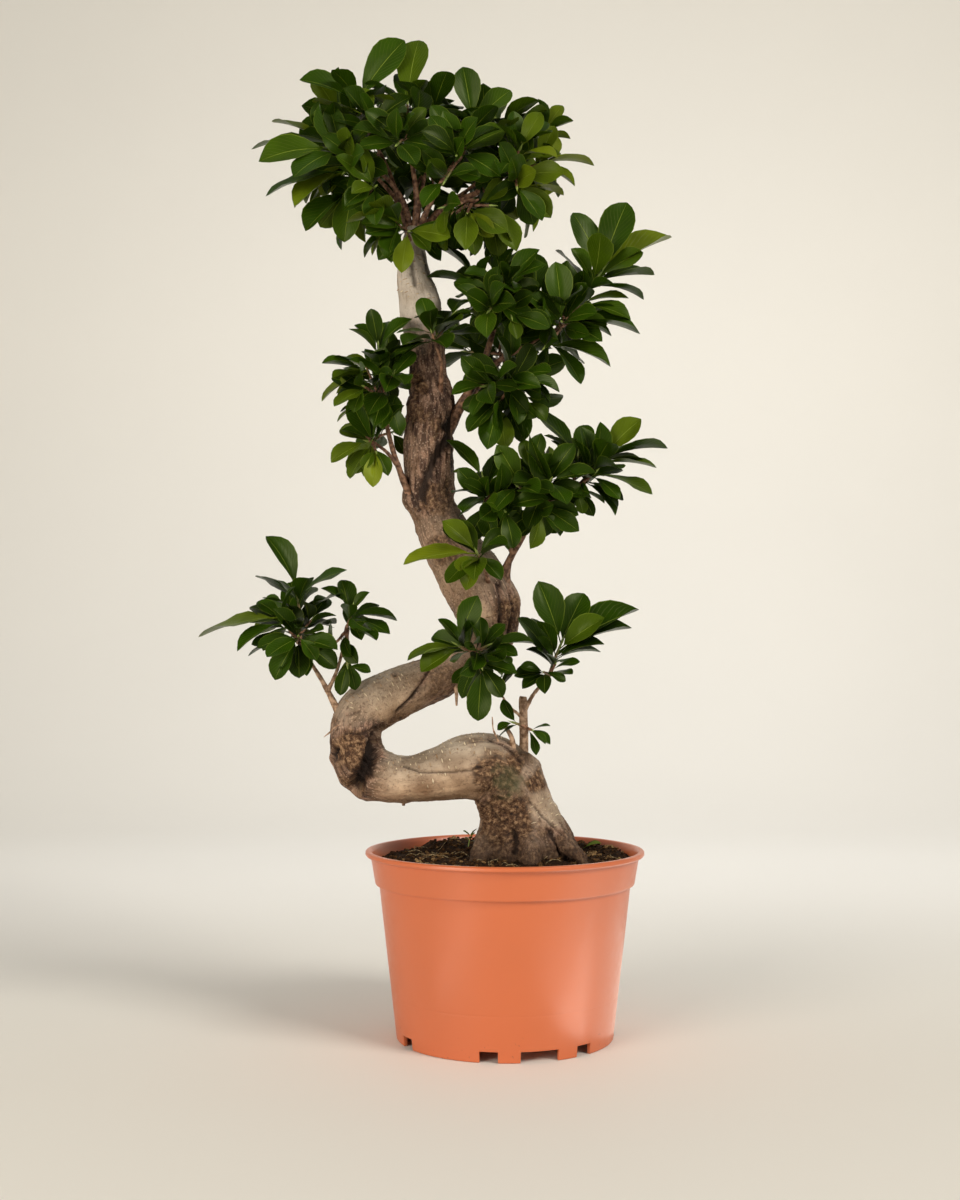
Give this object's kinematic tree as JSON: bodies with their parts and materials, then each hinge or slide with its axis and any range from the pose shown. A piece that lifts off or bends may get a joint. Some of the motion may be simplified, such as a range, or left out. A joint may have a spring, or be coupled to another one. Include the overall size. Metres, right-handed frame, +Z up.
{
  "type": "ginseng ficus in a plastic nursery pot",
  "caption": "Bonsai-style ginseng ficus with an S-shaped trunk and tiers of glossy leaves, growing in a round orange plastic nursery pot.",
  "frame": {"origin": "middle of the pot's foot, on the surface that the pot stands on", "axes": "+Z up through the pot's axis, the pictured front faces -Y, +X to the right in the picture"},
  "size_m": [0.4579, 0.2842, 0.9776],
  "materials": {
    "pot_plastic": "satin",
    "soil": "crumbly",
    "bark": "smooth bark",
    "leaf": "glossy leaf"
  },
  "bodies": {
    "root": {"pot": "pot_plastic", "soil": "soil", "trunk": "bark", "spray_crown_back": "leaf", "spray_crown_back_left": "leaf", "spray_crown_back_right": "leaf", "spray_crown_front": "leaf", "spray_crown_left": "leaf", "spray_crown_left_up": "leaf", "spray_crown_low_left": "leaf", "spray_crown_low_right": "leaf", "spray_crown_mid": "leaf", "spray_crown_right": "leaf", "spray_crown_right_up": "leaf", "spray_low_front": "leaf", "spray_low_left": "leaf", "spray_low_left_inner": "leaf", "spray_low_right": "leaf", "spray_low_right_stub": "leaf", "spray_low_right_twig": "leaf", "spray_tier_three_front": "leaf", "spray_tier_three_left": "leaf", "spray_tier_three_main": "leaf", "spray_tier_three_right": "leaf", "spray_tier_two_back": "leaf", "spray_tier_two_front": "leaf", "spray_tier_two_left": "leaf", "spray_tier_two_left_low": "leaf", "spray_tier_two_low": "leaf", "spray_tier_two_right": "leaf", "spray_tier_two_up": "leaf"}
  },
  "joints": []
}
